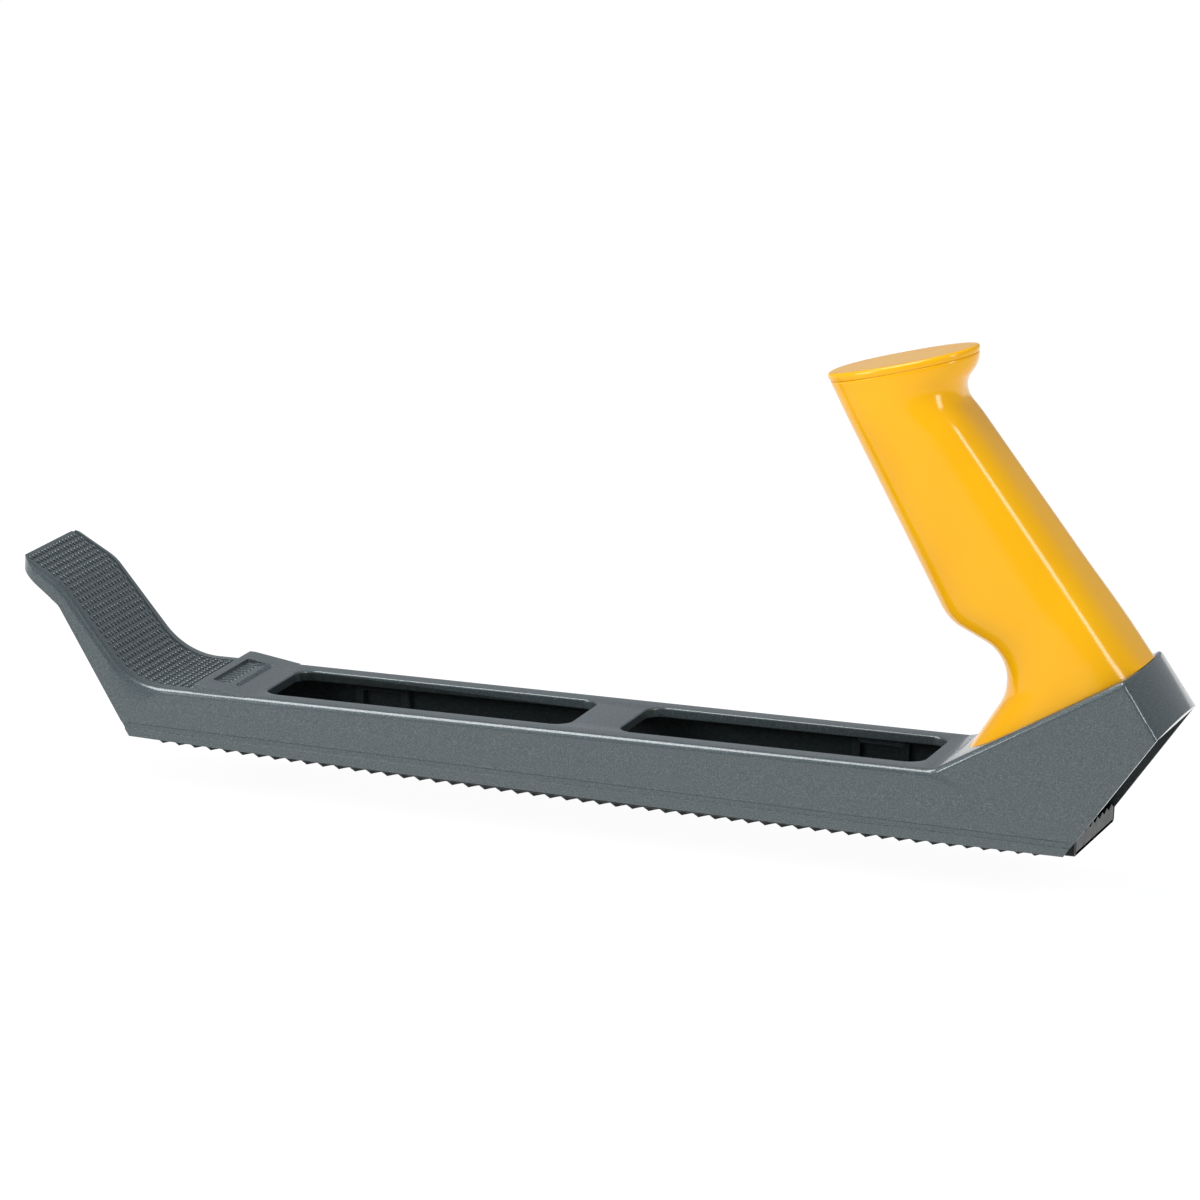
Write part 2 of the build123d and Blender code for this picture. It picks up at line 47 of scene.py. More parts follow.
# ---- camera ---------------------------------------------------------------------------------
# A long lens, two metres off and a little above the deck, so that the flanks stay nearly
# parallel. It stands towards the heel and is rolled a few degrees, so the toe rises at the left.
azimuth, elevation, roll = math.radians(17.35), math.radians(12.94), math.radians(2.89)
aim = Vector((-0.0008, 0.0, 0.0498))
distance = 2.0064
camera_back = Vector((
    math.sin(azimuth) * math.cos(elevation),
    -math.cos(azimuth) * math.cos(elevation),
    math.sin(elevation),
))
level_right = Vector((math.cos(azimuth), math.sin(azimuth), 0.0))
level_up = camera_back.cross(level_right)
camera_right = level_right * math.cos(roll) + level_up * math.sin(roll)
camera_up = level_up * math.cos(roll) - level_right * math.sin(roll)
camera_place = aim + camera_back * distance
camera_data = bpy.data.cameras.new("camera")
camera_data.sensor_width = 36.0
camera_data.lens = 230.5
camera_data.clip_start = 0.1
camera_data.clip_end = 50.0
camera = bpy.data.objects.new("camera", camera_data)
scene.collection.objects.link(camera)
camera.matrix_world = Matrix((
    (camera_right.x, camera_up.x, camera_back.x, camera_place.x),
    (camera_right.y, camera_up.y, camera_back.y, camera_place.y),
    (camera_right.z, camera_up.z, camera_back.z, camera_place.z),
    (0.0, 0.0, 0.0, 1.0),
))
scene.camera = camera

# ---- body casting ---------------------------------------------------------------------------
# One die casting in light alloy: flanks, deck, horn and heel in a single thin-walled channel.
# It is sprayed outside with a grey metallic enamel; inside the channel a near-black painted shade stands in
# for the shadow there.


def linear(hex_colour):
    """An sRGB hex colour as the linear RGBA that a node socket holds."""
    channels = [int(hex_colour[i:i + 2], 16) / 255 for i in (1, 3, 5)]
    curve = [c / 12.92 if c <= 0.04045 else ((c + 0.055) / 1.055) ** 2.4 for c in channels]
    return (*curve, 1.0)


def per_metre(size_mm):
    """The texture scale that repeats a pattern about once every size_mm."""
    return 1000.0 / size_mm


def add_node(tree, kind, links=None, inputs=None, **settings):
    """Adds a node, sets its properties and input values, and links sockets into its inputs."""
    node = tree.nodes.new(kind)
    for name, value in settings.items():
        setattr(node, name, value)
    for key, value in (inputs or {}).items():
        node.inputs[key].default_value = value
    for key, source in (links or {}).items():
        tree.links.new(source, node.inputs[key])
    return node


def new_material(name):
    """An empty node material with its output, and that output node."""
    material = bpy.data.materials.new(name)
    material.use_nodes = True
    material.node_tree.nodes.clear()
    output = add_node(material.node_tree, "ShaderNodeOutputMaterial")
    return material, material.node_tree, output


def colour_steps(tree, factor, steps):
    """A ramp that turns a factor into the colours given as (place, hex)."""
    ramp = add_node(tree, "ShaderNodeValToRGB", links={"Fac": factor})
    elements = ramp.color_ramp.elements
    while len(elements) < len(steps):
        elements.new(0.5)
    for element, (place, colour) in zip(elements, steps):
        element.position = place
        element.color = linear(colour)
    return ramp


def merged_copy(node_name, piece_name):
    """A welded, free-standing copy of a CAD node's mesh, for finishing."""
    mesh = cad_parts[node_name].data.copy()
    mesh.name = piece_name
    mesh.materials.clear()
    body = bmesh.new()
    body.from_mesh(mesh)
    bmesh.ops.remove_doubles(body, verts=body.verts, dist=2e-6)
    body.to_mesh(mesh)
    body.free()
    if "custom_normal" in mesh.attributes:
        mesh.attributes.remove(mesh.attributes["custom_normal"])
    piece = bpy.data.objects.new(piece_name, mesh)
    scene.collection.objects.link(piece)
    return piece


def sprayed_enamel():
    """Metallic enamel over a die casting: a grey-green coat that carries fine bright flake, with
    a soft gloss and the faint orange peel of a sprayed finish."""
    material, tree, output = new_material("sprayed_metallic_enamel")
    place = add_node(tree, "ShaderNodeTexCoord").outputs["Object"]
    mottle = add_node(
        tree,
        "ShaderNodeTexNoise",
        {"Vector": place},
        {"Scale": per_metre(0.42), "Detail": 3.0, "Roughness": 0.7},
    )
    greys = [(0.30, "#343D3F"), (0.52, "#444F52"), (0.74, "#5F6B6F")]
    tone = colour_steps(tree, mottle.outputs["Fac"], greys)
    flake = add_node(
        tree, "ShaderNodeTexVoronoi", {"Vector": place}, {"Scale": per_metre(0.34), "Randomness": 1.0}
    )
    fleck = add_node(
        tree,
        "ShaderNodeMapRange",
        {"Value": flake.outputs["Distance"]},
        {"From Min": 0.10, "From Max": 0.28, "To Min": 0.45, "To Max": 0.0},
    )
    colour = add_node(
        tree,
        "ShaderNodeMix",
        data_type="RGBA",
        links={"Factor": fleck.outputs["Result"], "A": tone.outputs["Color"]},
    )
    colour.inputs["B"].default_value = linear("#9AA5A8")
    peel = add_node(
        tree, "ShaderNodeTexNoise", {"Vector": place}, {"Scale": per_metre(0.9), "Detail": 2.0}
    )
    soft_edge = add_node(tree, "ShaderNodeBevel", inputs={"Radius": 0.0003}, samples=6)
    bump = add_node(
        tree,
        "ShaderNodeBump",
        {"Height": peel.outputs["Fac"], "Normal": soft_edge.outputs["Normal"]},
        {"Strength": 0.3, "Distance": 0.00012},
    )
    shine = add_node(
        tree,
        "ShaderNodeMapRange",
        {"Value": mottle.outputs["Fac"]},
        {"From Min": 0.3, "From Max": 0.7, "To Min": 0.5, "To Max": 0.36},
    )
    enamel = add_node(
        tree,
        "ShaderNodeBsdfPrincipled",
        {
            "Base Color": colour.outputs["Result"],
            "Normal": bump.outputs["Normal"],
            "Roughness": shine.outputs["Result"],
        },
        {"Metallic": 0.4, "Coat Weight": 1.0, "Coat Roughness": 0.12},
    )
    tree.links.new(enamel.outputs["BSDF"], output.inputs["Surface"])
    return material


def painted_inside_shade():
    """Painted shade for the inside of the channel, standing in for the shadow there: nearly black, matt,
    and a little uneven.
    """
    material, tree, output = new_material("painted_shade_black")
    place = add_node(tree, "ShaderNodeTexCoord").outputs["Object"]
    mottle = add_node(
        tree, "ShaderNodeTexNoise", {"Vector": place}, {"Scale": per_metre(0.8), "Detail": 3.0}
    )
    # These near-black tones are painted shade, not the casting's own colour.
    tone = colour_steps(tree, mottle.outputs["Fac"], [(0.35, "#12191A"), (0.7, "#222B2C")])
    soft_edge = add_node(tree, "ShaderNodeBevel", inputs={"Radius": 0.0003}, samples=6)
    bump = add_node(
        tree,
        "ShaderNodeBump",
        {"Height": mottle.outputs["Fac"], "Normal": soft_edge.outputs["Normal"]},
        {"Strength": 0.3, "Distance": 0.0001},
    )
    inside_shade_shader = add_node(
        tree,
        "ShaderNodeBsdfPrincipled",
        {"Base Color": tone.outputs["Color"], "Normal": bump.outputs["Normal"]},
        {"Roughness": 0.42, "Specular IOR Level": 0.5},
    )
    tree.links.new(inside_shade_shader.outputs["BSDF"], output.inputs["Surface"])
    return material


def paint_shade_inside(piece, deck_low, reach):
    """Gives the painted-shade material to faces below the deck that look at another wall of the casting,
    where shade falls.
    """
    casting = bmesh.new()
    casting.from_mesh(piece.data)
    walls = BVHTree.FromBMesh(casting)
    for face in casting.faces:
        centre = face.calc_center_median()
        start = centre + face.normal * 0.0004
        if centre.z < deck_low + 0.35 * max(0.0, centre.x - 0.1):
            face.material_index = int(walls.ray_cast(start, face.normal, reach)[0] is not None)
    casting.to_mesh(piece.data)
    casting.free()


enamel = sprayed_enamel()
casting_piece = merged_copy("body_casting", "casting")
casting_piece.data.materials.append(enamel)
casting_piece.data.materials.append(painted_inside_shade())
# Faces inside the channel get the near-black painted shade as their second material.
paint_shade_inside(casting_piece, deck_low=0.0165, reach=0.06)
casting_piece.data.set_sharp_from_angle(angle=math.radians(28))
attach(casting_piece, "frame")
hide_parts("body_casting")

# ---- thumb rest -----------------------------------------------------------------------------
# The top of the horn is cast with rows of low, long nubs between two plain rims, so that the
# leading hand doesn't slip. The rows are staggered, and the nubs lie along the slope.


def rounded_line(corners, radii, arc_steps=10):
    """Points along a polyline whose inner corners are rounded to the given radii."""
    points = [Vector(corners[0])]
    for before, corner, after, radius in zip(corners, corners[1:], corners[2:], radii):
        corner = Vector(corner)
        back_along = (Vector(before) - corner).normalized()
        on_along = (Vector(after) - corner).normalized()
        half_angle = back_along.angle(on_along) / 2
        centre = corner + (back_along + on_along).normalized() * (radius / math.sin(half_angle))
        run = radius / math.tan(half_angle)
        start = corner + back_along * run - centre
        end = corner + on_along * run - centre
        first = math.atan2(start.y, start.x)
        turn = (math.atan2(end.y, end.x) - first + math.pi) % (2 * math.pi) - math.pi
        for step in range(arc_steps + 1):
            angle = first + turn * step / arc_steps
            points.append(centre + Vector((math.cos(angle), math.sin(angle))) * radius)
    points.append(Vector(corners[-1]))
    return points


def new_tree(name, sockets):
    """A geometry tree with named inputs, given as (name, socket type), and its two end nodes."""
    tree = bpy.data.node_groups.new(name, "GeometryNodeTree")
    tree.interface.new_socket(name="Geometry", in_out="INPUT", socket_type="NodeSocketGeometry")
    tree.interface.new_socket(name="Geometry", in_out="OUTPUT", socket_type="NodeSocketGeometry")
    for socket_name, kind in sockets:
        tree.interface.new_socket(name=socket_name, in_out="INPUT", socket_type="NodeSocket" + kind)
    return tree, add_node(tree, "NodeGroupInput"), add_node(tree, "NodeGroupOutput")


def finish_tree(tree, output, geometry, material_socket):
    """Ends a tree with Realize Instances and Set Material."""
    real = add_node(tree, "GeometryNodeRealizeInstances", {"Geometry": geometry})
    coated = add_node(
        tree, "GeometryNodeSetMaterial", {"Geometry": real.outputs["Geometry"], "Material": material_socket}
    )
    tree.links.new(coated.outputs["Geometry"], output.inputs["Geometry"])


def grow(name, tree, values, start=None):
    """Runs a geometry tree with its named inputs and returns the result as a plain piece."""
    seed = bpy.data.objects.new(name + "_seed", start or bpy.data.meshes.new(name + "_seed"))
    scene.collection.objects.link(seed)
    modifier = seed.modifiers.new(name, "NODES")
    modifier.node_group = tree
    for item in tree.interface.items_tree:
        if item.in_out == "INPUT" and item.name in values:
            modifier[item.identifier] = values[item.name]
    bpy.context.view_layer.update()
    mesh = bpy.data.meshes.new_from_object(seed.evaluated_get(bpy.context.evaluated_depsgraph_get()))
    bpy.data.objects.remove(seed)
    mesh.name = name
    mesh.materials.clear()
    mesh.materials.append(values["Finish"])
    mesh.polygons.foreach_set("material_index", [0] * len(mesh.polygons))
    piece = bpy.data.objects.new(name, mesh)
    scene.collection.objects.link(piece)
    return piece


def hidden_pattern(name, mesh):
    """An object that a tree repeats. It isn't shown, and it is removed once the tree has run."""
    pattern = bpy.data.objects.new(name, mesh)
    scene.collection.objects.link(pattern)
    return pattern


def nub_mesh(length, width, height, sink):
    """A long low dome on an oval foot that is sunk a little into the surface under it."""
    rings = ((1.0, -sink), (0.92, height * 0.45), (0.6, height * 0.9))
    around = 8
    dome = bmesh.new()
    loops = []
    for scale, level in rings:
        loops.append([
            dome.verts.new((
                math.cos(2 * math.pi * k / around) * scale * length / 2,
                math.sin(2 * math.pi * k / around) * scale * width / 2,
                level,
            ))
            for k in range(around)
        ])
    for lower, upper in zip(loops, loops[1:]):
        for k in range(around):
            nxt = (k + 1) % around
            dome.faces.new((lower[k], lower[nxt], upper[nxt], upper[k]))
    dome.faces.new(loops[-1])
    dome.faces.new(loops[0][::-1])
    for face in dome.faces:
        face.smooth = True
    mesh = bpy.data.meshes.new("nub")
    dome.to_mesh(mesh)
    dome.free()
    return mesh


def nub_field_tree():
    """Rows of nubs across a path in the XZ plane, every second row moved over by half a pitch."""
    tree, given, output = new_tree(
        "nub_field",
        [
            ("Row Pitch", "Float"),
            ("Nub Pitch", "Float"),
            ("Nubs Across", "Int"),
            ("Nub", "Object"),
            ("Finish", "Material"),
        ],
    )
    path = add_node(tree, "GeometryNodeMeshToCurve", {"Mesh": given.outputs["Geometry"]})
    rows = add_node(
        tree,
        "GeometryNodeResampleCurve",
        {"Curve": path.outputs["Curve"], "Length": given.outputs["Row Pitch"]},
        mode="LENGTH",
    )
    tangent = add_node(tree, "GeometryNodeInputTangent")
    upright = add_node(
        tree,
        "ShaderNodeVectorMath",
        {0: tangent.outputs["Tangent"]},
        {1: (0.0, 1.0, 0.0)},
        operation="CROSS_PRODUCT",
    )
    facing = add_node(
        tree,
        "FunctionNodeAlignRotationToVector",
        {"Vector": upright.outputs["Vector"]},
        axis="Z",
        pivot_axis="Y",
    )
    spacing = add_node(tree, "ShaderNodeCombineXYZ", {"Y": given.outputs["Nub Pitch"]})
    row = add_node(
        tree,
        "GeometryNodeMeshLine",
        {"Count": given.outputs["Nubs Across"], "Offset": spacing.outputs["Vector"]},
    )
    placed = add_node(
        tree,
        "GeometryNodeInstanceOnPoints",
        {
            "Points": rows.outputs["Curve"],
            "Instance": row.outputs["Mesh"],
            "Rotation": facing.outputs["Rotation"],
        },
    )
    index = add_node(tree, "GeometryNodeInputIndex")
    parity = add_node(
        tree, "ShaderNodeMath", {0: index.outputs["Index"]}, {1: 2.0}, operation="MODULO"
    )
    steps = add_node(
        tree, "ShaderNodeMath", {0: given.outputs["Nubs Across"]}, {1: 0.5}, operation="SUBTRACT"
    )
    middle = add_node(
        tree,
        "ShaderNodeMath",
        {0: steps.outputs["Value"], 1: parity.outputs["Value"]},
        operation="SUBTRACT",
    )
    half = add_node(tree, "ShaderNodeMath", {0: middle.outputs["Value"]}, {1: -0.5}, operation="MULTIPLY")
    shift = add_node(
        tree,
        "ShaderNodeMath",
        {0: half.outputs["Value"], 1: given.outputs["Nub Pitch"]},
        operation="MULTIPLY",
    )
    sideways = add_node(tree, "ShaderNodeCombineXYZ", {"Y": shift.outputs["Value"]})
    staggered = add_node(
        tree,
        "GeometryNodeTranslateInstances",
        {"Instances": placed.outputs["Instances"], "Translation": sideways.outputs["Vector"]},
    )
    turned = add_node(tree, "GeometryNodeInputInstanceRotation")
    noted = add_node(
        tree,
        "GeometryNodeStoreNamedAttribute",
        {"Geometry": staggered.outputs["Instances"], "Value": turned.outputs["Rotation"]},
        {"Name": "lie"},
        data_type="QUATERNION",
        domain="INSTANCE",
    )
    spots = add_node(tree, "GeometryNodeRealizeInstances", {"Geometry": noted.outputs["Geometry"]})
    lie = add_node(tree, "GeometryNodeInputNamedAttribute", inputs={"Name": "lie"}, data_type="QUATERNION")
    nub = add_node(tree, "GeometryNodeObjectInfo", {"Object": given.outputs["Nub"]})
    nubs = add_node(
        tree,
        "GeometryNodeInstanceOnPoints",
        {
            "Points": spots.outputs["Geometry"],
            "Instance": nub.outputs["Geometry"],
            "Rotation": lie.outputs["Attribute"],
        },
    )
    finish_tree(tree, output, nubs.outputs["Instances"], given.outputs["Finish"])
    return tree


def path_mesh(name, points):
    """A chain of edges through (x, z) points in millimetres, in the tool's middle plane."""
    mesh = bpy.data.meshes.new(name)
    places = [(x / 1000, 0.0, z / 1000) for x, z in points]
    mesh.from_pydata(places, [(k, k + 1) for k in range(len(places) - 1)], [])
    return mesh


horn_floor = rounded_line(
    [(-154.2, 46.46), (-143.75, 40.7), (-122.75, 16.45), (-107.0, 16.66)], [12.0, 20.0]
)
nub = hidden_pattern("nub", nub_mesh(length=0.00145, width=0.0009, height=0.0005, sink=0.0001))
nubs = grow(
    "thumb_rest_nubs",
    nub_field_tree(),
    {"Row Pitch": 0.0019, "Nub Pitch": 0.0021, "Nubs Across": 16, "Nub": nub, "Finish": enamel},
    path_mesh("horn_floor", horn_floor),
)
bpy.data.objects.remove(nub)
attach(nubs, "frame")

# ---- raised plate ---------------------------------------------------------------------------
# The sunk panel in the plate between the thumb rest and the first window is cast with two rows
# of plain slanting ribs. They are generic and spell nothing.


def rib_mesh(length, width, height, slant):
    """A low straight rib with sloping sides, leaning over by slant along its length."""
    foot, crown = (width / 2, -0.0001), (width / 5, height)
    corners = []
    for half_width, level in (foot, crown):
        for end in (-1, 1):
            for side in (-1, 1):
                along = end * (length / 2 - (width / 2 - half_width))
                corners.append((along, side * half_width + end * slant / 2, level))
    mesh = bpy.data.meshes.new("rib")
    faces = [(4, 6, 7, 5), (0, 4, 5, 1), (2, 3, 7, 6), (0, 2, 6, 4), (1, 5, 7, 3), (0, 1, 3, 2)]
    mesh.from_pydata(corners, [], faces)
    return mesh


def rib_row_tree():
    """A row of equal ribs across the tool."""
    tree, given, output = new_tree(
        "rib_row",
        [
            ("Start", "Vector"),
            ("Spacing", "Vector"),
            ("Ribs", "Int"),
            ("Rib", "Object"),
            ("Finish", "Material"),
        ],
    )
    row = add_node(
        tree,
        "GeometryNodeMeshLine",
        {
            "Count": given.outputs["Ribs"],
            "Start Location": given.outputs["Start"],
            "Offset": given.outputs["Spacing"],
        },
    )
    rib = add_node(tree, "GeometryNodeObjectInfo", {"Object": given.outputs["Rib"]})
    ribs = add_node(
        tree,
        "GeometryNodeInstanceOnPoints",
        {"Points": row.outputs["Mesh"], "Instance": rib.outputs["Geometry"]},
    )
    finish_tree(tree, output, ribs.outputs["Instances"], given.outputs["Finish"])
    return tree


rib_tree = rib_row_tree()
panel_floor = 0.0179
for row_name, row_x, rib_length, rib_count, rib_spacing in (
    ("front_plate_ribs", -0.1004, 0.0032, 9, 0.0026),
    ("rear_plate_ribs", -0.0959, 0.0016, 13, 0.0018),
):
    rib = hidden_pattern("rib", rib_mesh(rib_length, 0.0009, 0.0005, slant=0.0005))
    ribs = grow(
        row_name,
        rib_tree,
        {
            "Start": (row_x, -rib_spacing * (rib_count - 1) / 2, panel_floor),
            "Spacing": (0.0, rib_spacing, 0.0),
            "Ribs": rib_count,
            "Rib": rib,
            "Finish": enamel,
        },
    )
    bpy.data.objects.remove(rib)
    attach(ribs, "frame")

# ---- blade ----------------------------------------------------------------------------------
# A strip of hardened steel, punched with slanting rows of scoop-shaped teeth, with a hole in
# front of each, then bent up along both edges and both ends. It comes blackened and oiled.
blade_low, blade_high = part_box("blade")
blade_middle_x = (blade_low.x + blade_high.x) / 2
tooth_depth, sheet_thick = 0.0011, 0.0008
tooth_pitch, tooth_rows, tooth_columns = 0.0045, 54, 9
flange_high = 0.0032
strip_width = (blade_high.y - blade_low.y - 2 * sheet_thick) / tooth_columns


def blackened_steel():
    """Hardened steel strip with a black oxide finish under oil: near black, with a dull sheen
    and paler worn metal where the coat is thin."""
    material, tree, output = new_material("blackened_spring_steel")
    place = add_node(tree, "ShaderNodeTexCoord").outputs["Object"]
    patches = add_node(
        tree, "ShaderNodeTexNoise", {"Vector": place}, {"Scale": per_metre(3.0), "Detail": 4.0}
    )
    blacks = [(0.35, "#0E1314"), (0.60, "#181E20"), (0.80, "#2A3335")]
    tone = colour_steps(tree, patches.outputs["Fac"], blacks)
    shine = add_node(
        tree, "ShaderNodeMapRange", {"Value": patches.outputs["Fac"]}, {"To Min": 0.52, "To Max": 0.34}
    )
    steel = add_node(
        tree,
        "ShaderNodeBsdfPrincipled",
        {"Base Color": tone.outputs["Color"], "Roughness": shine.outputs["Result"]},
        {"Metallic": 0.6},
    )
    tree.links.new(steel.outputs["BSDF"], output.inputs["Surface"])
    return material


def tooth_tile():
    """One tooth as a tile of the sheet: a steep face toward the toe, with the punched hole in
    it, a cutting edge across nearly the whole tile, and a long slope up to the next tooth."""
    along = [(-0.5, 0.0), (-0.42, 0.25), (-0.24, 0.7), (-0.14, 1.0), (0.18, 0.5), (0.5, 0.0)]
    across = [(-0.5, 0.0), (-0.42, 0.9), (-0.2, 1.0), (0.2, 1.0), (0.42, 0.9), (0.5, 0.0)]
    hole_row, hole_columns = 1, (1, 2, 3)
    tile = bmesh.new()
    layers = []
    for lift in (0.0, sheet_thick):
        layers.append([
            [
                tile.verts.new((u * tooth_pitch, v * strip_width, tooth_depth * (1 - fall * arch) + lift))
                for v, arch in across
            ]
            for u, fall in along
        ])
    for row in range(len(along) - 1):
        for column in range(len(across) - 1):
            if row == hole_row and column in hole_columns:
                continue
            ends = ((row, column), (row + 1, column), (row + 1, column + 1), (row, column + 1))
            tile.faces.new([layers[0][r][c] for r, c in reversed(ends)])
            tile.faces.new([layers[1][r][c] for r, c in ends])
        for column, ends in ((0, (row, row + 1)), (len(across) - 1, (row + 1, row))):
            lower, upper = ([layer[r][column] for r in ends] for layer in layers)
            tile.faces.new((*lower, *upper[::-1]))
    first, last = hole_columns[0], hole_columns[-1] + 1
    rim = [(hole_row, c) for c in range(first, last + 1)]
    rim += [(hole_row + 1, c) for c in range(last, first - 1, -1)]
    for (r0, c0), (r1, c1) in zip(rim, rim[1:] + rim[:1]):
        tile.faces.new((layers[0][r0][c0], layers[0][r1][c1], layers[1][r1][c1], layers[1][r0][c0]))
    mesh = bpy.data.meshes.new("tooth_tile")
    tile.to_mesh(mesh)
    tile.free()
    return mesh


def toothed_strip_tree():
    """Columns of tooth tiles, each column set on by a share of the pitch, all bowed downwards."""
    tree, given, output = new_tree(
        "toothed_strip",
        [
            ("Rows", "Int"),
            ("Columns", "Int"),
            ("Pitch", "Float"),
            ("Column Pitch", "Float"),
            ("Stagger", "Float"),
            ("First", "Vector"),
            ("Middle", "Float"),
            ("Bow Radius", "Float"),
            ("Tile", "Object"),
            ("Finish", "Material"),
        ],
    )

    def sum_of(kind, a, b):
        """The result of one arithmetic step on two sockets or numbers."""
        step = tree.nodes.new("ShaderNodeMath")
        step.operation = kind
        for socket, value in zip(step.inputs, (a, b)):
            if isinstance(value, (int, float)):
                socket.default_value = value
            else:
                tree.links.new(value, socket)
        return step.outputs["Value"]

    count = sum_of("MULTIPLY", given.outputs["Rows"], given.outputs["Columns"])
    points = add_node(tree, "GeometryNodeMeshLine", {"Count": count})
    index = add_node(tree, "GeometryNodeInputIndex").outputs["Index"]
    column = sum_of("MODULO", index, given.outputs["Columns"])
    row = sum_of("FLOOR", sum_of("DIVIDE", sum_of("ADD", index, 0.5), given.outputs["Columns"]), 0.0)
    shares = sum_of("MULTIPLY", column, given.outputs["Stagger"])
    set_on = sum_of("FRACT", sum_of("ADD", shares, 0.001), 0.0)
    x = sum_of("MULTIPLY", sum_of("ADD", row, set_on), given.outputs["Pitch"])
    y = sum_of("MULTIPLY", column, given.outputs["Column Pitch"])
    step = add_node(tree, "ShaderNodeCombineXYZ", {"X": x, "Y": y})
    place = add_node(
        tree,
        "ShaderNodeVectorMath",
        {0: step.outputs["Vector"], 1: given.outputs["First"]},
        operation="ADD",
    )
    laid = add_node(
        tree,
        "GeometryNodeSetPosition",
        {"Geometry": points.outputs["Mesh"], "Position": place.outputs["Vector"]},
    )
    tile = add_node(tree, "GeometryNodeObjectInfo", {"Object": given.outputs["Tile"]})
    tiles = add_node(
        tree,
        "GeometryNodeInstanceOnPoints",
        {"Points": laid.outputs["Geometry"], "Instance": tile.outputs["Geometry"]},
    )
    flat = add_node(tree, "GeometryNodeRealizeInstances", {"Geometry": tiles.outputs["Instances"]})
    welded = add_node(
        tree, "GeometryNodeMergeByDistance", {"Geometry": flat.outputs["Geometry"]}, {"Distance": 0.00001}
    )
    position = add_node(tree, "GeometryNodeInputPosition")
    spot = add_node(tree, "ShaderNodeSeparateXYZ", {"Vector": position.outputs["Position"]})
    offset = sum_of("SUBTRACT", spot.outputs["X"], given.outputs["Middle"])
    squared = sum_of("MULTIPLY", offset, offset)
    radius = given.outputs["Bow Radius"]
    chord = sum_of("SQRT", sum_of("SUBTRACT", sum_of("MULTIPLY", radius, radius), squared), 0.0)
    lift = add_node(tree, "ShaderNodeCombineXYZ", {"Z": sum_of("SUBTRACT", radius, chord)})
    bowed = add_node(
        tree,
        "GeometryNodeSetPosition",
        {"Geometry": welded.outputs["Geometry"], "Offset": lift.outputs["Vector"]},
    )
    finish_tree(tree, output, bowed.outputs["Geometry"], given.outputs["Finish"])
    return tree


def bow(x):
    """Height of the bowed blade above its lowest line, in metres."""
    return bow_radius - math.sqrt(bow_radius ** 2 - (x - blade_middle_x) ** 2)


def blade_edges():
    """The plain parts of the blade: turned-up flanges, turned-up ends and the flat end strips."""
    sheet_top = tooth_depth + sheet_thick
    bend = 0.0008
    edges = bmesh.new()
    stations = [blade_low.x + (blade_high.x - blade_low.x) * k / 32 for k in range(33)]
    outer = blade_high.y
    bend_arc = [
        (outer - bend + bend * math.cos(turn), tooth_depth + bend - bend * math.sin(turn))
        for turn in (math.pi / 8 * k for k in range(5))
    ]
    flange = [(outer, sheet_top + flange_high), *bend_arc, (outer - bend, sheet_top + flange_high)]
    for side in (-1, 1):
        loops = [[edges.verts.new((x, side * y, z + bow(x))) for y, z in flange] for x in stations]
        for one, two in zip(loops, loops[1:]):
            for k in range(len(flange)):
                nxt = (k + 1) % len(flange)
                edges.faces.new((one[k], one[nxt], two[nxt], two[k]))
        edges.faces.new(loops[0])
        edges.faces.new(loops[-1])
    lip_half = outer - 0.0015
    lip_top = blade_high.z
    lip_points, lip_notch = 17, 0.0012
    lip_shape = [(-lip_half, tooth_depth), (lip_half, tooth_depth)]
    for k in range(lip_points):
        fall = lip_notch if k % 2 == 0 else 0.0
        lip_shape.append((lip_half - 2 * lip_half * k / (lip_points - 1), lip_top - fall))
    for near, far in ((blade_low.x, blade_low.x + sheet_thick), (blade_high.x - sheet_thick, blade_high.x)):
        loops = [
            [edges.verts.new((x, y, max(z, bow(x) + tooth_depth))) for y, z in lip_shape]
            for x in (near, far)
        ]
        for k in range(len(lip_shape)):
            nxt = (k + 1) % len(lip_shape)
            edges.faces.new((loops[0][k], loops[0][nxt], loops[1][nxt], loops[1][k]))
        edges.faces.new(loops[0])
        edges.faces.new(loops[1])
    first_x = blade_middle_x - tooth_pitch * (tooth_rows + 1) / 2
    for column in range(tooth_columns):
        set_on = (column * stagger + 0.001) % 1.0 * tooth_pitch
        y0 = -strip_width * (tooth_columns / 2 - column)
        starts = (blade_low.x, first_x + set_on)
        ends = (first_x + set_on + tooth_rows * tooth_pitch, blade_high.x)
        for x0, x1 in (starts, ends):
            corners = [
                edges.verts.new((x, y, z + bow(x)))
                for z in (tooth_depth, sheet_top)
                for x, y in ((x0, y0), (x1, y0), (x1, y0 + strip_width), (x0, y0 + strip_width))
            ]
            edges.faces.new(corners[:4][::-1])
            edges.faces.new(corners[4:])
            for k in range(4):
                nxt = (k + 1) % 4
                edges.faces.new((corners[k], corners[nxt], corners[4 + nxt], corners[4 + k]))
    bmesh.ops.recalc_face_normals(edges, faces=edges.faces)
    mesh = bpy.data.meshes.new("blade_edges")
    edges.to_mesh(mesh)
    edges.free()
    return mesh


bow_radius = 5.0
stagger = 0.35
blackened = blackened_steel()
tile = hidden_pattern("tooth_tile", tooth_tile())
first_tile = Vector((
    blade_middle_x - tooth_pitch * tooth_rows / 2, -strip_width * (tooth_columns - 1) / 2, 0.0
))
teeth = grow(
    "toothed_blade",
    toothed_strip_tree(),
    {
        "Rows": tooth_rows,
        "Columns": tooth_columns,
        "Pitch": tooth_pitch,
        "Column Pitch": strip_width,
        "Stagger": stagger,
        "First": first_tile,
        "Middle": blade_middle_x,
        "Bow Radius": bow_radius,
        "Tile": tile,
        "Finish": blackened,
    },
)
bpy.data.objects.remove(tile)
blade_body = bmesh.new()
blade_body.from_mesh(teeth.data)
blade_body.from_mesh(blade_edges())
blade_body.to_mesh(teeth.data)
blade_body.free()
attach(teeth, "blade")
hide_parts("blade")

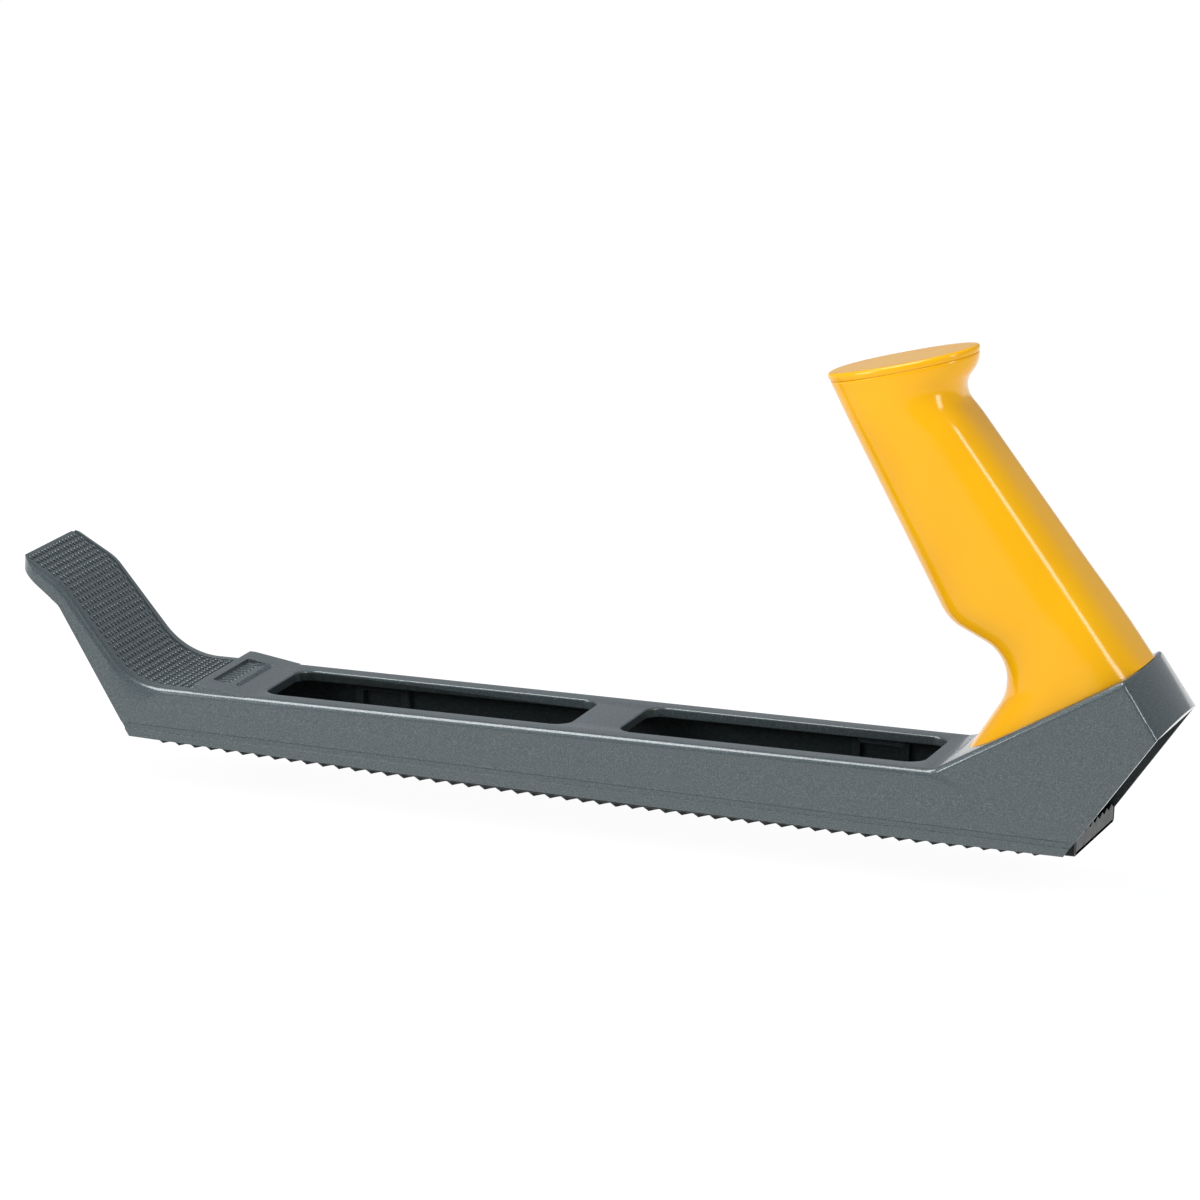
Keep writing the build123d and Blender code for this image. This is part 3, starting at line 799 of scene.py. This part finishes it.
# ---- handle and cap -------------------------------------------------------------------------
# A pistol grip moulded in glossy yellow ABS and bolted down onto the heel. Its section is a
# round-nosed egg with two firm corners at the back, and it flares at the top under an oval cap.


def glossy_abs():
    """Injection-moulded ABS, straight from a polished tool: a saturated warm yellow under a
    clear gloss, with the slightest unevenness of shrinkage."""
    material, tree, output = new_material("glossy_moulded_abs")
    place = add_node(tree, "ShaderNodeTexCoord").outputs["Object"]
    drift = add_node(
        tree, "ShaderNodeTexNoise", {"Vector": place}, {"Scale": per_metre(30.0), "Detail": 2.0}
    )
    tone = colour_steps(tree, drift.outputs["Fac"], [(0.3, "#ECA900"), (0.7, "#F0B100")])
    ripple = add_node(
        tree, "ShaderNodeTexNoise", {"Vector": place}, {"Scale": per_metre(4.0), "Detail": 1.0}
    )
    bump = add_node(
        tree, "ShaderNodeBump", {"Height": ripple.outputs["Fac"]}, {"Strength": 0.08, "Distance": 0.0001}
    )
    plastic = add_node(
        tree,
        "ShaderNodeBsdfPrincipled",
        {"Base Color": tone.outputs["Color"], "Normal": bump.outputs["Normal"]},
        {"Roughness": 0.16, "IOR": 1.54, "Specular IOR Level": 0.35},
    )
    tree.links.new(plastic.outputs["BSDF"], output.inputs["Surface"])
    return material


seat_slope = math.radians(31.0)
seat_start = Vector((96.9, 20.95))
seat_way = Vector((math.cos(seat_slope), math.sin(seat_slope)))
seat_up = Vector((-math.sin(seat_slope), math.cos(seat_slope)))
grip_nose = seat_start + seat_way * 5.5
grip_heel = seat_start + seat_way * 58.2
rim_front, rim_back = Vector((57.6, 117.2)), Vector((96.9, 128.45))
front_corners = [(47.2, 134.3), (94.2, 56.7), (110.7, 49.7), (110.7, 39.1), grip_nose]
back_corners = [(96.9, 150.0), (96.9, 123.2), (92.3, 116.3), grip_heel]
front_line = rounded_line(front_corners, [12.0, 10.5, 10.5], arc_steps=14)
back_line = rounded_line(back_corners, [8.0, 6.5], arc_steps=14)


def height_share(point):
    """How far a side-view point stands from the seat, as a share of the way to the top rim."""
    rim_normal = Vector((rim_front.y - rim_back.y, rim_back.x - rim_front.x)).normalized()
    above_seat = (Vector(point) - seat_start).dot(seat_up)
    along = (Vector(point) - seat_start) - seat_up * above_seat
    to_rim = (rim_front - seat_start - along).dot(rim_normal) / seat_up.dot(rim_normal)
    return above_seat / to_rim


def point_at(line, share):
    """The point of an outline at a share of the height, found between its two neighbours."""
    marks = [height_share(point) for point in line]
    for (one, upper), (two, lower) in zip(zip(line, marks), zip(line[1:], marks[1:])):
        if lower <= share <= upper:
            return two.lerp(one, (share - lower) / max(upper - lower, 1e-9))
    return Vector(line[-1])


def half_width(z):
    """Half the grip's width, which falls from the seat to the rim."""
    return 18.6 - 0.0536 * (z - 20.0) + 0.000096 * (z - 20.0) * (z - 76.0)


def grip_ring(share, inset, around=96):
    """One section of the grip in metres: a superellipse with a softer front than back."""
    front, back = point_at(front_line, share), point_at(back_line, share)
    depth = (back - front).length
    way = (back - front).normalized()
    corner = max(0.0, min(1.0, (0.93 - share) / 0.14))
    back_power = 2.1 + 1.4 * corner * corner * (3 - 2 * corner)
    split = depth * 0.52
    ring = []
    for k in range(around):
        angle = 2 * math.pi * k / around
        ahead, aside = math.cos(angle), math.sin(angle)
        power = 2.3 if ahead > 0 else back_power
        reach = split if ahead > 0 else depth - split
        run = split - math.copysign(abs(ahead) ** (2 / power), ahead) * (reach - inset)
        spot = front + way * run
        side = math.copysign(abs(aside) ** (2 / power), aside) * (half_width(spot.y) - inset)
        ring.append((spot.x / 1000, side / 1000, spot.y / 1000))
    return ring


def grip_piece(name, sections, finish):
    """A closed piece of the grip through sections given as (share of the height, inset)."""
    grip = bmesh.new()
    loops = [[grip.verts.new(spot) for spot in grip_ring(*section)] for section in sections]
    for one, two in zip(loops, loops[1:]):
        for k in range(len(one)):
            nxt = (k + 1) % len(one)
            grip.faces.new((one[k], one[nxt], two[nxt], two[k]))
    grip.faces.new(loops[0])
    grip.faces.new(loops[-1])
    bmesh.ops.recalc_face_normals(grip, faces=grip.faces)
    for face in grip.faces:
        face.smooth = True
    mesh = bpy.data.meshes.new(name)
    grip.to_mesh(mesh)
    grip.free()
    mesh.materials.append(finish)
    mesh.set_sharp_from_angle(angle=math.radians(50))
    piece = bpy.data.objects.new(name, mesh)
    scene.collection.objects.link(piece)
    return piece


abs_yellow = glossy_abs()
grip_height = 90.0
cap_thick, seam_round, rim_round = 2.0, 0.25, 1.0
seam_share = 1 - cap_thick / grip_height
grip_steps = 96
handle_sections = [(seam_share * k / grip_steps, 0.0) for k in range(grip_steps)]
handle_sections += [
    (seam_share - seam_round / grip_height, 0.0),
    (seam_share - 0.3 * seam_round / grip_height, 0.3 * seam_round),
    (seam_share, seam_round),
]
handle_piece = grip_piece("handle_shell", handle_sections, abs_yellow)
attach(handle_piece, "frame")
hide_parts("handle")

cap_sections = [
    (seam_share, seam_round),
    (seam_share + 0.3 * seam_round / grip_height, 0.3 * seam_round),
    (seam_share + seam_round / grip_height, 0.0),
]
for step in range(7):
    turn = math.pi / 2 * step / 6
    rim_share = 1 - rim_round * (1 - math.sin(turn)) / grip_height
    cap_sections.append((rim_share, rim_round * (1 - math.cos(turn))))
cap_sections.append((1.0, rim_round + 0.8))
cap_piece = grip_piece("oval_cap", cap_sections, abs_yellow)
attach(cap_piece, "frame")
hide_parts("handle_cap")

# ---- fasteners ------------------------------------------------------------------------------
# The handle's bolt, nut and washers and the blade's tension screw are zinc-plated steel, bought
# in. The slide that the screw draws and the clip that keeps the screw are blackened strip.


def zinc_plate():
    """Bright zinc plating on steel: a cool silver, faintly clouded, with a fine satin grain."""
    material, tree, output = new_material("bright_zinc_plate")
    place = add_node(tree, "ShaderNodeTexCoord").outputs["Object"]
    cloud = add_node(
        tree, "ShaderNodeTexNoise", {"Vector": place}, {"Scale": per_metre(1.5), "Detail": 3.0}
    )
    tone = colour_steps(tree, cloud.outputs["Fac"], [(0.35, "#A9AEB0"), (0.7, "#D2D6D8")])
    shine = add_node(
        tree, "ShaderNodeMapRange", {"Value": cloud.outputs["Fac"]}, {"To Min": 0.22, "To Max": 0.42}
    )
    plate = add_node(
        tree,
        "ShaderNodeBsdfPrincipled",
        {"Base Color": tone.outputs["Color"], "Roughness": shine.outputs["Result"]},
        {"Metallic": 1.0},
    )
    tree.links.new(plate.outputs["BSDF"], output.inputs["Surface"])
    return material


zinc = zinc_plate()
fastener_finish = {
    "handle_bolt": zinc,
    "bolt_washer": zinc,
    "lock_washer": zinc,
    "handle_nut": zinc,
    "tension_screw": zinc,
    "tension_washer": zinc,
    "screw_clip": blackened,
    "tension_slide": blackened,
}
for node_name, finish in fastener_finish.items():
    node_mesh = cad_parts[node_name].data
    node_mesh.materials.clear()
    node_mesh.materials.append(finish)

# ---- floor and light ------------------------------------------------------------------------
# A pale floor, faintly lit from below so that shadows stay light, runs far past the tool. One
# soft light hangs above at the left, the key stands at the front left, and a tall narrow strip
# at the right draws the long highlights. The floor lies just below the released blade.
floor_reach, floor_level = 60.0, -0.0105
floor_mesh = bpy.data.meshes.new("floor")
floor_corners = [
    (side_x * floor_reach, side_y * floor_reach, floor_level)
    for side_x, side_y in ((-1, -1), (1, -1), (1, 1), (-1, 1))
]
floor_mesh.from_pydata(floor_corners, [], [(0, 1, 2, 3)])
floor = bpy.data.objects.new("floor", floor_mesh)
scene.collection.objects.link(floor)
floor_paint, tree, output = new_material("matt_white_floor")
floor_shader = add_node(
    tree,
    "ShaderNodeBsdfPrincipled",
    inputs={
        "Base Color": linear("#5E5E5E"),
        "Roughness": 0.9,
        "Specular IOR Level": 0.0,
        "Emission Color": linear("#FFFFFF"),
        "Emission Strength": 0.95,
    },
)
tree.links.new(floor_shader.outputs["BSDF"], output.inputs["Surface"])
floor_mesh.materials.append(floor_paint)

world = bpy.data.worlds.new("studio")
scene.world = world
world.use_nodes = True
world.node_tree.nodes["Background"].inputs["Color"].default_value = linear("#E6EDF4")
world.node_tree.nodes["Background"].inputs["Strength"].default_value = 0.38
scene.view_settings.view_transform = "Standard"


def add_softbox(name, place, width, height, power):
    """A soft area light at a place in metres, turned to face the middle of the tool."""
    light = bpy.data.lights.new(name, "AREA")
    light.shape = "RECTANGLE"
    light.size, light.size_y = width, height
    light.energy = power
    lamp = bpy.data.objects.new(name, light)
    scene.collection.objects.link(lamp)
    lamp.location = place
    lamp.rotation_mode = "QUATERNION"
    lamp.rotation_quaternion = (aim - Vector(place)).to_track_quat("-Z", "Y")


add_softbox("overhead", (-0.5, -0.2, 1.35), 1.0, 0.6, 15.0)
add_softbox("left_key", (-1.2, -1.1, 0.7), 0.7, 0.7, 13.5)
add_softbox("right_strip", (1.2, -0.65, 0.75), 0.3, 0.75, 7.5)
